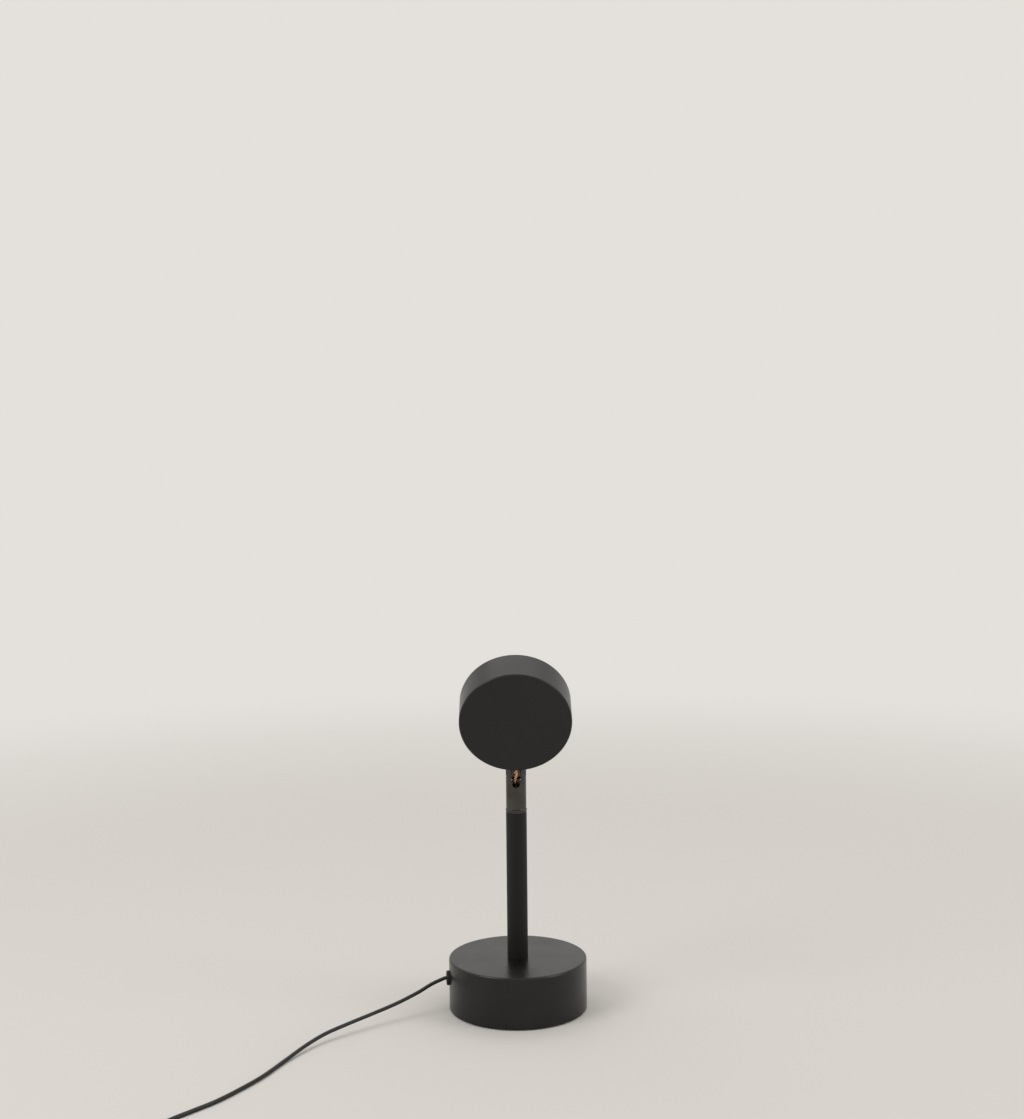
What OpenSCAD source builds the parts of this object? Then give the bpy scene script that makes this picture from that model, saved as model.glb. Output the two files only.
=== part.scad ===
// Sunset projection lamp. A round weighted base carries a slim stem, a forked neck that swivels
// on the stem, and a drum-shaped head that tilts on a knuckle. A USB lead with an inline rocker
// switch leaves the side of the base.
// Millimetres. +Z is up, +Y is the way the lamp shines, and the foot stands on z = 0.

/* [Base] */
// Outer diameter of the base
base_d = 96; // [80:1:120]
// Height of the base above the surface it stands on
base_h = 36; // [32:0.5:45]
// Side wall of the base shell
base_wall = 1.5; // [1:0.1:2.5]
// Top of the base shell
base_top = 2; // [1.5:0.1:3]
// Radius of the base's upper edge
base_edge = 1.3; // [0.8:0.1:3]
// How far the foot ring stands proud of the shell
foot_h = 1; // [0.5:0.1:2]
// Width of the foot ring
foot_w = 8; // [5:0.5:12]
// Depth of the groove that the foot ring sits in
foot_groove = 0.8; // [0.5:0.1:1.2]
// Thickness of the bottom cover
cover_t = 2.4; // [2.2:0.1:4]
// Recess of the bottom cover in the shell
cover_in = 0.6; // [0.3:0.1:1.5]
// Space between the ballast and the shell, where the gland's nut sits
ballast_gap = 5; // [4.6:0.1:10]
// Thickness of the cast ballast
ballast_h = 7.5; // [4:0.5:7.5]
// Diameter of the ballast's screw bosses
boss_d = 9; // [7:0.5:12]

/* [Stem and neck] */
// Outer diameter of the stem
stem_d = 14.4; // [13:0.1:18]
// Length of the stem above the base
stem_h = 102.4; // [70:0.1:150]
// Diameter of the threaded spigot under the stem
spigot_d = 10; // [8:0.5:12]
// Bore for the lead through the spigot
spigot_bore = 6; // [4:0.5:7]
// Length of the solid plug that carries the spigot
plug_h = 12; // [6:0.5:20]
// Thickness of the swivel bush's flange
bush_flange = 0.8; // [0.5:0.1:1.5]
// Length of the swivel bush's sleeve
bush_l = 16; // [10:0.5:25]
// Outer diameter of the swivel bush's sleeve
bush_d = 10; // [9.4:0.1:11]
// Diameter of the neck's swivel pin
pin_d = 8; // [7:0.1:8.6]
// Outer diameter of the neck
neck_d = 14.1; // [12.5:0.1:16]
// From the neck's foot up to the tilt pivot
neck_h = 26.8; // [22:0.1:40]
// Height of the lip round the neck's foot
lip_h = 1.2; // [0.6:0.1:2.5]
// How far the lip stands out from the neck
lip_out = 0.35; // [0.2:0.05:1]
// Bore for the lead through the neck
neck_bore = 4.5; // [3.6:0.1:5]

/* [Tilt knuckle] */
// Thickness of the head's tongue
tongue_t = 6; // [4:0.1:6.2]
// Diameter of the tongue's knuckle
knuckle_d = 10; // [8:0.1:11]
// Thickness of each friction washer
washer_t = 0.4; // [0.3:0.05:0.8]
// Diameter of the pivot screw
screw_d = 3; // [2.5:0.1:3.5]
// Height of the pivot screw's head
screw_head_h = 1.6; // [1:0.1:1.8]
// Thickness of the pivot nut
nut_h = 1.8; // [1:0.1:2]
// Thickness of the tongue's saddle under the head
saddle_t = 2.3; // [1.5:0.1:4]
// Diameter of the tongue's saddle
saddle_d = 11; // [10:0.1:11.4]
// Diameter of the stud that holds the saddle to the head
stud_d = 4; // [3:0.5:5]
// Tilt of the head above level, in degrees
head_tilt = 22.8; // [-60:1:60]

/* [Head] */
// Outer diameter of the head
head_d = 76.4; // [70:0.1:90]
// Length of the head
head_l = 26.8; // [24:0.1:32]
// Side wall of the head
head_wall = 1.6; // [1.2:0.1:2.2]
// Back of the head
head_back = 1.8; // [1.2:0.1:2.4]
// Radius of the head's rear edge
head_edge = 1.2; // [0.5:0.1:2]
// Thickness of the bezel's lip over the wall's end
bezel_t = 1.2; // [0.8:0.1:2]
// Length of the bezel's skirt inside the wall
bezel_skirt = 4.5; // [3:0.1:5]
// Thickness of the bezel's skirt
skirt_t = 1.8; // [1:0.1:2.2]
// How far the lamp's mouth is beveled
mouth_bevel = 2.4; // [1:0.1:3]

/* [Optics] */
// Space between the lens's cup and the bezel's skirt
cup_gap = 2.5; // [0.5:0.1:4]
// Thickness of the lens at its rim
lens_rim = 2.5; // [1.5:0.1:3]
// Radius of the lens's front curve
lens_curve = 75; // [65:1:200]
// Width of the rim that holds the lens
lens_lap = 1.8; // [1:0.1:3]
// Thickness of the gasket in front of the lens
gasket_t = 1.0; // [0.6:0.1:1.4]
// Thickness of the heat sink's plate
sink_t = 2; // [1.5:0.1:3]
// Space between the heat sink and the wall, where the lead passes
sink_gap = 8; // [7:0.1:10]
// Thickness of the heat sink's fins
fin_t = 1.2; // [0.8:0.1:2]
// Spacing of the heat sink's fins
fin_pitch = 5; // [4:0.5:8]
// Thickness of the LED board
board_t = 1.6; // [1:0.1:2]
// Diameter of the LED board
board_d = 44; // [42:1:46]
// Inner diameter of the light chamber
chamber_d = 26; // [20:1:28]
// Length of the light chamber from the board to the filter
chamber_l = 3.8; // [3:0.1:4.5]
// Diameter of the colour filter
filter_d = 29; // [24:0.5:31]
// Thickness of the colour filter
filter_t = 1; // [0.6:0.1:1.4]
// Wall of the optic tube
optic_wall = 1.6; // [1:0.1:2]

/* [Gland and lead] */
// Direction of the gland, from -X towards -Y, in degrees
gland_turn = 6; // [0:1:20]
// From the top of the base down to the gland
gland_drop = 13.5; // [13.4:0.1:16]
// Diameter of the gland's flange
gland_d = 10; // [9:0.1:12]
// How far the gland stands out of the base
gland_out = 2; // [1:0.1:4]
// Diameter of the gland's neck in the shell
gland_neck = 6.4; // [5:0.1:6.4]
// Thickness of the gland's nut
gland_nut_t = 3; // [2:0.1:3.4]
// Diameter of the lead's jacket
cord_d = 2.5; // [2.3:0.1:3.2]
// Diameter of the twin lead in the knuckle and the head
wire_d = 2.4; // [1.8:0.1:2.6]

/* [Inline switch] */
// Length of the switch
switch_l = 54; // [48:1:65]
// Width of the switch
switch_w = 18; // [16:0.5:22]
// Height of the switch
switch_h = 12; // [11:0.1:15]
// Wall of the switch
switch_wall = 1.6; // [1.2:0.1:2]
// Radius of the switch's long edges
switch_edge = 2.5; // [1:0.1:4]
// Length of the rocker
rocker_l = 15; // [12:0.1:17]
// Width of the rocker
rocker_w = 8.4; // [6:0.1:9]
// Swing of the rocker from one side to the other, in degrees
rocker_swing = 14; // [8:1:16]
// Distance between the switch's two screws
switch_screw_gap = 34; // [30:1:38]

/* [USB plug and coil] */
// Width of the plug's metal shell
usb_w = 12; // [11:0.1:13]
// Height of the plug's metal shell
usb_h = 4.5; // [4:0.1:5]
// Length of the plug's metal shell out of the grip
usb_l = 15; // [12:0.1:17]
// Thickness of the plug's metal shell
usb_wall = 0.35; // [0.3:0.05:0.5]
// Length of the plug's grip
grip_l = 27; // [22:0.5:35]
// Width of the plug's grip
grip_w = 15.6; // [14:0.1:18]
// Height of the plug's grip
grip_h = 7.8; // [7:0.1:9]
// Middle diameter of the coil
coil_d = 30; // [28:0.5:40]
// Turns side by side in the coil
coil_columns = 3; // [2:1:4]
// Layers of turns in the coil
coil_layers = 4; // [2:1:5]
// Thickness of the strap round the coil
strap_t = 1; // [0.6:0.1:1.5]
// Width of the strap round the coil
strap_w = 9; // [5:0.5:14]

/* [Fits] */
// Clearance all round a pushed-in or screwed-in piece
fit_gap = 0.05; // [0.03:0.01:0.1]
// Running clearance at the swivel, the knuckle and the rocker
run_gap = 0.05; // [0.03:0.01:0.1]
// Clearance between the neck's ears and the saddle
swing_gap = 0.45; // [0.3:0.05:1]

/* [Hidden] */
$fn = 64;
eps = 0.01;

black = "#1b1a19";
satin = "#2a2725";
rubber = "#151515";
clear_wire = "#9c6a4c";
steel = "#b9babb";
brass = "#c8a24a";

// Base, from the table up
shell_r = base_d / 2;
bay_r = shell_r - base_wall;
cover_z = foot_h + cover_in;
cover_top = cover_z + cover_t;
cover_r = bay_r - fit_gap;
foot_r = cover_r - 2;
foot_z = cover_z + foot_groove;
ceiling = base_h - base_top;
ballast_r = bay_r - ballast_gap;
ballast_z = ceiling - ballast_h;

// Small cover and clamp screws
small_screw_d = 3;
small_head_d = 5.6;
small_head_h = 1.7;
screw_bite = 8;
cover_screw_r = foot_r - foot_w - small_head_d / 2 - 1.5;
cover_screw_turns = [60, 180, 300];

// Gland, looking out along its own +X
gland_z = base_h - gland_drop;
gland_tip = shell_r + gland_out;
gland_tail = 7;
gland_nut_r = gland_neck / 2 + 1.9;
gland_nut_x = sqrt(pow(bay_r, 2) - pow(gland_nut_r, 2));
gland_in = bay_r - gland_tail;
lead_r = cord_d / 2 + 0.1;

// Clamp on the lead inside the base
clamp_l = 6;
clamp_w = 17;
clamp_t = 3;
clamp_x = gland_in - 3 - clamp_l;
clamp_screw_y = 5.4;
clamp_split = 0.3;

// Stem and its nut
spigot_low = ballast_z - 8;
washer_d = spigot_d + 10;
stem_washer_t = 1.2;
stem_nut_t = 5;
stem_top = base_h + stem_h;
bush_z = stem_top - bush_l;

// Neck
neck_z = stem_top + bush_flange + run_gap;
neck_r = neck_d / 2;
clip_t = 0.9;
pin_low = bush_z - 3;
clip_z = bush_z - run_gap - clip_t;
pin_r = pin_d / 2;
clip_r = pin_r + 0.8;
groove_r = pin_r - 0.8;
pivot_z = neck_z + neck_h;
fork_w = tongue_t + 2 * washer_t + 2 * run_gap;
lead_room = 5;
fork_floor = pivot_z - knuckle_d / 2 - lead_room;
pocket_w = wire_d + 2.8;
pocket_z = fork_floor + pocket_w / 2;
screw_head_r = screw_d / 2 + 1.3;
nut_r = screw_d / 2 + 1.6;
screw_face_x = neck_r - 0.1;
web_y = neck_bore / 2 + 0.3;
web_top = pivot_z - knuckle_d / 2 - swing_gap;

// Head, whose own +Z is the way it shines and whose own +Y points at the pivot
saddle_z = neck_r + swing_gap;
pivot_gap = saddle_z + saddle_t;
head_r = head_d / 2;
can_r = head_r - head_wall;
back_z = -head_l / 2;
front_z = head_l / 2;
bay_back = back_z + head_back;
nut_seat_r = 4.6;
stud_seat = sqrt(pow(can_r, 2) - pow(nut_seat_r, 2));
tongue_washer_t = 1;
tongue_nut_t = 3;
tongue_nut_r = stud_d / 2 + 2;
stud_tip = stud_seat - tongue_washer_t - tongue_nut_t - 1;
grommet_z = -saddle_d / 2 - 2.6;
grommet_r = 2.2;
grommet_neck = grommet_r - 0.6;

// Optics, from the front back
mouth_edge = 0.4;
optic_l = head_l - head_back - 4.5 - sink_t - board_t - lens_rim - gasket_t - mouth_bevel;
sink_r = can_r - sink_gap;
lens_play = 0.2;
cup_r = can_r - fit_gap - skirt_t - cup_gap;
lens_r = cup_r - optic_wall - lens_play;
bezel_in = lens_r - lens_lap;
bezel_back = front_z - bezel_t;
lens_front = front_z - mouth_bevel - gasket_t - mouth_edge;
lens_z = lens_front - lens_rim;
lens_bow = sqrt(pow(lens_curve, 2) - pow(lens_r, 2));
board_r = board_d / 2;
board_z = lens_z - optic_l;
sink_z = board_z - board_t;
fin_h = sink_z - sink_t - bay_back;
filter_z = board_z + chamber_l;
chamber_r = chamber_d / 2;
filter_r = filter_d / 2;
clip_ring_t = 0.6;
board_screw_r = board_r - 3;
board_screw_d = 2.5;

// Switch on the lead, lying along X
switch_x = -150;
switch_y = -230;
switch_mid = switch_h / 2;
seam_cut = 0.5;
rocker_z = switch_h - 3;
rocker_pin_r = 1;
rocker_r = rocker_l / 2;
rocker_slot_l = rocker_l + 0.7;
rocker_slot_w = rocker_w + 0.6;
rib_t = 1.6;

// Coil and plug
coil_x = -75;
coil_y = -244;
coil_w = coil_columns * (cord_d + 0.1);
coil_h = coil_layers * (cord_d + 0.1);
coil_z = strap_t + 0.1;
plug_x = -34;
plug_y = -232;
plug_z = grip_h / 2;
usb_in = 8;
relief_l = 8;
relief_r = 2.8;

// The lead as it lies: points chosen by hand, after those in the gland
cord_route = [
    [-60, -9, 19.5], [-69, -15.5, 16], [-83, -25.5, 12], [-98, -36, 9], [-114, -50, 7],
    [-128, -63.5, 5.2], [-139, -79, 3.2], [-150, -101, 1.5], [-160, -125, 1.35], [-171, -145, 1.35],
    [-182, -162, 1.35], [-194, -176, 1.35], [-205, -189, 1.35], [-213, -203, 1.35],
    [-212, -218, 1.35], [-201, -228, 2.3], [-188, -230, 5], [-180, -230, 6], [-170, -230, 6]
];
link_route = [
    [-130, -230, 6], [-120, -230, 6], [-112, -229.5, 5], [-103, -228, 3.2], [-92, -226.8, 2.4],
    [-80, -226.4, 2.4]
];
tail_route = [
    [-70, -226.4, 10.2], [-60, -226.4, 9.2], [-50, -228, 6.8], [-42, -231, 4.4], [-36, -232, 3.9],
    [-30, -232, 3.9]
];

// ---- helpers ----

// Points that bend smoothly through a route, never lower than the cord's own radius
function dist(a, b) = norm(b - a);
function unit(v) = v / norm(v);
function at(p, i) = p[max(0, min(len(p) - 1, i))];
function blend(a, b, c, d, t) =
    0.5 * (2 * b + (c - a) * t + (2 * a - 5 * b + 4 * c - d) * t * t
        + (3 * b - a - 3 * c + d) * t * t * t);
function smooth(p, step) = [
    for (i = [0 : len(p) - 2])
        let (n = max(1, ceil(dist(p[i], p[i + 1]) / step)))
        for (k = [0 : n - 1]) blend(at(p, i - 1), p[i], p[i + 1], at(p, i + 2), k / n),
    p[len(p) - 1]
];
function heading(p, i) = unit(at(p, i + 1) - at(p, i - 1));
function ring(c, along, side_ref, r, sides) =
    let (u = unit(cross(along, side_ref)), v = cross(along, u))
    [for (k = [0 : sides - 1]) c + r * (cos(360 * k / sides) * u + sin(360 * k / sides) * v)];

// A round tube swept along points, closed at both ends
module sweep(route, r, side_ref = [0, 0, 1], step = 7.5, sides = 8) {
    p = smooth(route, step);
    n = len(p);
    rings = [for (i = [0 : n - 1]) each ring(p[i], heading(p, i), side_ref, r, sides)];
    walls = [for (i = [0 : n - 2], k = [0 : sides - 1])
        let (a = i * sides + k, b = i * sides + (k + 1) % sides)
        each [[a, b, b + sides], [a, b + sides, a + sides]]];
    start = [for (k = [sides - 1 : -1 : 0]) k];
    end = [for (k = [0 : sides - 1]) (n - 1) * sides + k];
    polyhedron(points = rings, faces = concat([start], walls, [end]), convexity = 6);
}

module pipe(outer, inner, h) {
    difference() {
        cylinder(r = outer, h = h);
        translate([0, 0, -1]) cylinder(r = inner, h = h + 2);
    }
}

// Countersunk screw with its head's face at z = 0, pointing along +Z
module screw(d, head_d, head_h, l) {
    slot_w = 0.8;
    slot_h = 0.8;
    difference() {
        union() {
            cylinder(r1 = head_d / 2, r2 = d / 2, h = head_h);
            cylinder(r = d / 2, h = l);
        }
        for (turn = [0, 90])
            rotate([0, 0, turn]) translate([-head_d / 3, -slot_w / 2, -1])
                cube([head_d * 2 / 3, slot_w, 1 + slot_h]);
    }
}

module screw_hole(d, head_d, head_h, l) {
    translate([0, 0, -1]) cylinder(r = head_d / 2 + fit_gap, h = 1 + eps);
    cylinder(r1 = head_d / 2 + fit_gap, r2 = d / 2 + fit_gap, h = head_h);
    cylinder(r = d / 2 + fit_gap, h = l);
}

// The gland's frame: +X points out of the base along the lead
module at_gland() {
    rotate([0, 0, 180 + gland_turn]) translate([0, 0, gland_z]) children();
}

function gland_point(x, z) = [-x * cos(gland_turn), -x * sin(gland_turn), z];

// The tilting frame, at the pivot, and the head's own frame in it
module tilted() {
    translate([0, 0, pivot_z]) rotate([head_tilt, 0, 0]) children();
}

module in_head() {
    tilted() translate([0, 0, pivot_gap + head_r]) rotate([-90, 0, 0]) children();
}

// ---- base ----

// Half section of a cup that stands on its rim, with a round upper edge
module cup_section(r, h, edge) {
    square([r - edge, h]);
    square([r, h - edge]);
    translate([r - edge, h - edge]) circle(edge);
}

module base_shell() {
    color(satin) difference() {
        rotate_extrude() difference() {
            translate([0, foot_h]) cup_section(shell_r, base_h - foot_h, base_edge);
            translate([0, foot_h - 1])
                cup_section(bay_r, ceiling - foot_h + 1, max(0.4, base_edge - base_wall));
        }
        translate([0, 0, ceiling - 1]) cylinder(r = spigot_d / 2 + fit_gap, h = base_top + 2);
        at_gland() translate([bay_r - 3, 0, 0]) rotate([0, 90, 0])
            cylinder(r = gland_neck / 2 + fit_gap, h = base_wall + 6);
    }
}

module at_cover_screws(i = -1) {
    for (k = [0 : 2])
        if (i < 0 || i == k)
            rotate([0, 0, 180 + gland_turn + cover_screw_turns[k]]) translate([cover_screw_r, 0, cover_z])
                children();
}

module base_cover() {
    rib_h = 2;
    color(black) difference() {
        union() {
            translate([0, 0, cover_z]) cylinder(r = cover_r, h = cover_t);
            translate([0, 0, cover_top]) pipe(cover_r - 1, cover_r - 2.6, rib_h);
        }
        translate([0, 0, cover_z - 1]) pipe(foot_r + fit_gap, foot_r - foot_w - fit_gap, foot_groove + 1);
        at_cover_screws() screw_hole(small_screw_d, small_head_d, small_head_h, cover_t + 1);
    }
}

module foot_ring() {
    edge = 0.4;
    color(rubber) rotate_extrude() translate([foot_r - foot_w, 0]) polygon([
        [edge, 0], [foot_w - edge, 0], [foot_w, edge], [foot_w, foot_z], [0, foot_z], [0, edge]
    ]);
}

module ballast() {
    pad_z = gland_z + clamp_split / 2;
    color("#3a3a3c") difference() {
        union() {
            translate([0, 0, ballast_z]) cylinder(r = ballast_r, h = ballast_h);
            at_cover_screws() translate([0, 0, cover_t])
                cylinder(r = boss_d / 2, h = ballast_z - cover_top + 1);
            rotate([0, 0, 180 + gland_turn]) translate([clamp_x, -clamp_w / 2, pad_z])
                cube([clamp_l, clamp_w, ballast_z - pad_z + 1]);
        }
        translate([0, 0, ballast_z - 1]) cylinder(r = spigot_d / 2 + fit_gap, h = ballast_h + 2);
        at_cover_screws() cylinder(r = small_screw_d / 2 + fit_gap, h = cover_t + screw_bite + 1);
        at_gland() {
            translate([clamp_x - 1, 0, 0]) rotate([0, 90, 0]) cylinder(r = lead_r, h = clamp_l + 2);
            for (y = [-clamp_screw_y, clamp_screw_y])
                translate([clamp_x + clamp_l / 2, y, -clamp_t - 1])
                    cylinder(r = small_screw_d / 2 + fit_gap, h = clamp_t + 1 + screw_bite);
        }
    }
}

module cover_screw(i) {
    color(steel) at_cover_screws(i) screw(small_screw_d, small_head_d, small_head_h, cover_t + screw_bite);
}

module cover_screw_1() { cover_screw(0); }
module cover_screw_2() { cover_screw(1); }
module cover_screw_3() { cover_screw(2); }

module gland() {
    edge = 0.8;
    color(rubber) difference() {
        at_gland() rotate([0, 90, 0]) rotate_extrude() {
            translate([0, gland_in]) square([gland_neck / 2, gland_tip - gland_in]);
            translate([0, shell_r - 1]) square([gland_d / 2, gland_out + 1 - edge]);
            translate([0, shell_r - 1]) square([gland_d / 2 - edge, gland_out + 1]);
            translate([gland_d / 2 - edge, gland_tip - edge]) circle(edge);
        }
        difference() {
            translate([0, 0, foot_h]) cylinder(r = shell_r, h = base_h);
            at_gland() rotate([0, 90, 0]) cylinder(r = gland_neck / 2, h = gland_tip);
        }
        at_gland() translate([gland_in - 1, 0, 0]) rotate([0, 90, 0])
            cylinder(r = lead_r, h = gland_tip - gland_in + 2);
    }
}

module gland_nut() {
    color(black) at_gland() translate([gland_nut_x - gland_nut_t, 0, 0]) rotate([0, 90, 0]) difference() {
        cylinder(r = gland_nut_r, h = gland_nut_t, $fn = 6);
        translate([0, 0, -1]) cylinder(r = gland_neck / 2 + fit_gap, h = gland_nut_t + 2);
    }
}

module cord_clamp() {
    color(black) at_gland() difference() {
        translate([clamp_x, -clamp_w / 2, -clamp_t - clamp_split / 2]) cube([clamp_l, clamp_w, clamp_t]);
        translate([clamp_x - 1, 0, 0]) rotate([0, 90, 0]) cylinder(r = lead_r, h = clamp_l + 2);
        for (y = [-clamp_screw_y, clamp_screw_y])
            translate([clamp_x + clamp_l / 2, y, -clamp_t - clamp_split / 2])
                screw_hole(small_screw_d, small_head_d, small_head_h, clamp_t + 1);
    }
}

module clamp_screw(side) {
    color(steel) at_gland()
        translate([clamp_x + clamp_l / 2, side * clamp_screw_y, -clamp_t - clamp_split / 2])
            screw(small_screw_d, small_head_d, small_head_h, clamp_t + screw_bite - 1);
}

module clamp_screw_1() { clamp_screw(-1); }
module clamp_screw_2() { clamp_screw(1); }

// The jacketed lead inside the lamp: through the clamp, then up the stem to the swivel pin
module stem_lead() {
    low = spigot_low - 4;
    route = [
        for (x = [gland_in, clamp_x + clamp_l, clamp_x, clamp_x - 3]) gland_point(x, gland_z),
        gland_point(clamp_x * 0.62, (gland_z + low) / 2), gland_point(clamp_x * 0.32, low),
        gland_point(clamp_x * 0.1, low + 0.4), gland_point(0.3, low + 4.5), [0, 0, low + 10],
        [0, 0, base_h], [0, 0, pin_low]
    ];
    color(rubber) sweep(route, cord_d / 2, [sin(gland_turn), -cos(gland_turn), 0]);
}

// ---- stem ----

module stem_tube() {
    edge = 0.4;
    r = stem_d / 2;
    color(black) rotate_extrude() polygon([
        [spigot_bore / 2, spigot_low], [spigot_d / 2 - edge, spigot_low], [spigot_d / 2, spigot_low + edge],
        [spigot_d / 2, base_h], [r, base_h], [r, stem_top], [bush_d / 2 + fit_gap, stem_top],
        [bush_d / 2 + fit_gap, base_h + plug_h], [spigot_bore / 2, base_h + plug_h]
    ]);
}

module stem_washer() {
    color(steel) translate([0, 0, ballast_z - stem_washer_t])
        pipe(washer_d / 2, spigot_d / 2 + fit_gap, stem_washer_t);
}

module stem_nut() {
    color(steel) translate([0, 0, ballast_z - stem_washer_t - stem_nut_t]) difference() {
        cylinder(r = spigot_d / 2 + 3.1, h = stem_nut_t, $fn = 6);
        translate([0, 0, -1]) cylinder(r = spigot_d / 2 + fit_gap, h = stem_nut_t + 2);
    }
}

module swivel_bush() {
    color(satin) difference() {
        union() {
            translate([0, 0, bush_z]) cylinder(r = bush_d / 2, h = bush_l);
            translate([0, 0, stem_top]) cylinder(r = stem_d / 2, h = bush_flange);
        }
        translate([0, 0, bush_z - 1]) cylinder(r = pin_r + run_gap, h = bush_l + bush_flange + 2);
    }
}

// ---- neck: a fork turned from bar, on a swivel pin, with a pocket behind for the slack lead ----

module neck() {
    lip_r = neck_r + lip_out;
    cut = neck_d + 4;
    color(satin) difference() {
        union() {
            intersection() {
                translate([0, 0, neck_z]) cylinder(r = neck_r, h = neck_h + neck_r);
                union() {
                    translate([-cut, -cut, neck_z]) cube([2 * cut, 2 * cut, neck_h]);
                    translate([-cut, 0, pivot_z]) rotate([0, 90, 0]) cylinder(r = neck_r, h = 2 * cut);
                }
            }
            translate([0, 0, neck_z]) rotate_extrude() polygon([
                [0, 0], [lip_r - 0.2, 0], [lip_r, 0.2], [lip_r, lip_h],
                [neck_r - eps, lip_h + lip_out], [0, lip_h + lip_out]
            ]);
            rotate_extrude() polygon([
                [0, pin_low], [pin_r - 0.4, pin_low], [pin_r, pin_low + 0.4], [pin_r, clip_z - fit_gap],
                [groove_r, clip_z - fit_gap], [groove_r, clip_z + clip_t], [pin_r, clip_z + clip_t],
                [pin_r, neck_z + 1], [0, neck_z + 1]
            ]);
        }
        translate([0, 0, pin_low - 1]) cylinder(r = neck_bore / 2, h = pocket_z - pin_low + 2);
        translate([-fork_w / 2, -cut, web_top]) cube([fork_w, 2 * cut, neck_h + cut]);
        translate([-pocket_w / 2, -cut, pocket_z]) cube([pocket_w, cut + web_y, neck_h + cut]);
        translate([0, web_y, pocket_z]) rotate([90, 0, 0]) cylinder(r = pocket_w / 2, h = cut + web_y);
        translate([-cut, 0, pivot_z]) rotate([0, 90, 0]) cylinder(r = screw_d / 2 + fit_gap, h = 2 * cut);
        translate([-cut, 0, pivot_z]) rotate([0, 90, 0])
            cylinder(r = screw_head_r + fit_gap, h = cut - screw_face_x + screw_head_h);
        translate([screw_face_x - nut_h, 0, pivot_z]) rotate([0, 90, 0])
            cylinder(r = nut_r + fit_gap, h = cut, $fn = 6);
    }
}

module neck_clip() {
    color(steel) translate([0, 0, clip_z]) difference() {
        pipe(clip_r, groove_r + fit_gap, clip_t);
        translate([groove_r * 0.5, -groove_r * 0.6, -1]) cube([clip_r, groove_r * 1.2, clip_t + 2]);
    }
}

module pivot_screw() {
    socket = 1.25;
    socket_h = 1;
    color(steel) translate([-screw_face_x, 0, pivot_z]) rotate([0, 90, 0]) difference() {
        union() {
            cylinder(r = screw_head_r, h = screw_head_h);
            cylinder(r = screw_d / 2, h = 2 * screw_face_x);
        }
        translate([0, 0, -1]) cylinder(r = socket, h = socket_h + 1, $fn = 6);
    }
}

module pivot_nut() {
    color(steel) translate([screw_face_x - nut_h, 0, pivot_z]) rotate([0, 90, 0]) difference() {
        cylinder(r = nut_r, h = nut_h, $fn = 6);
        translate([0, 0, -1]) cylinder(r = screw_d / 2 + fit_gap, h = nut_h + 2);
    }
}

module friction_washer(side) {
    inner_x = tongue_t / 2 + run_gap;
    color(steel) translate([side > 0 ? inner_x : -inner_x - washer_t, 0, pivot_z]) rotate([0, 90, 0])
        pipe(knuckle_d / 2, screw_d / 2 + fit_gap, washer_t);
}

module friction_washer_1() { friction_washer(-1); }
module friction_washer_2() { friction_washer(1); }

// A point of the tilting frame, in the lamp's frame
function tilted_point(y, z) = [
    0, y * cos(head_tilt) - z * sin(head_tilt), pivot_z + y * sin(head_tilt) + z * cos(head_tilt)
];

// The slack lead that comes out of the neck behind the knuckle and enters the head
module joint_lead() {
    back = knuckle_d / 2 + wire_d / 2 + 0.4;
    route = [
        [0, 0, pin_low], [0, 0, fork_floor - 2], [0, -0.2, fork_floor + 0.4],
        [-0.6, -back * 0.18, pivot_z - back * 1.25], [-1.1, -back * 0.55, pivot_z - back],
        [-0.5, -back, pivot_z - back * 0.45], tilted_point(grommet_z - 0.6, 3),
        tilted_point(grommet_z, saddle_z), tilted_point(grommet_z, pivot_gap + head_wall)
    ];
    color(clear_wire) sweep(route, wire_d / 2, [1, 0, 0], 5);
}

// ---- head ----

module tongue() {
    neck_y = knuckle_d / 2;
    color(satin) tilted() difference() {
        union() {
            rotate([0, 90, 0]) cylinder(r = knuckle_d / 2, h = tongue_t, center = true);
            translate([-tongue_t / 2, -neck_y, 0]) cube([tongue_t, 2 * neck_y, saddle_z + 1]);
            translate([0, 0, saddle_z]) cylinder(r = saddle_d / 2, h = saddle_t + 2);
            cylinder(r = stud_d / 2, h = pivot_gap + head_r - stud_tip);
        }
        difference() {
            translate([0, -head_l, pivot_gap + head_r]) rotate([-90, 0, 0])
                cylinder(r = head_r, h = 2 * head_l);
            cylinder(r = stud_d / 2, h = pivot_gap + head_r);
        }
        rotate([0, 90, 0]) cylinder(r = screw_d / 2 + run_gap, h = 2 * tongue_t, center = true);
    }
}

module at_stud(r) {
    in_head() translate([0, r, 0]) rotate([90, 0, 0]) children();
}

module tongue_washer() {
    color(steel) at_stud(stud_seat) pipe(nut_seat_r, stud_d / 2 + fit_gap, tongue_washer_t);
}

module tongue_nut() {
    color(steel) at_stud(stud_seat - tongue_washer_t) difference() {
        cylinder(r = tongue_nut_r, h = tongue_nut_t, $fn = 6);
        translate([0, 0, -1]) cylinder(r = stud_d / 2 + fit_gap, h = tongue_nut_t + 2);
    }
}

module head_can() {
    color(satin) in_head() difference() {
        rotate_extrude() difference() {
            translate([0, bezel_back]) mirror([0, 1]) cup_section(head_r, bezel_back - back_z, head_edge);
            translate([0, bezel_back + 1]) mirror([0, 1]) cup_section(can_r, bezel_back - bay_back + 1, 0.4);
        }
        rotate([-90, 0, 0]) cylinder(r = stud_d / 2 + fit_gap, h = head_r + 2);
        translate([0, 0, grommet_z]) rotate([-90, 0, 0])
            cylinder(r = grommet_neck + fit_gap, h = head_r + 2);
    }
}

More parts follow.
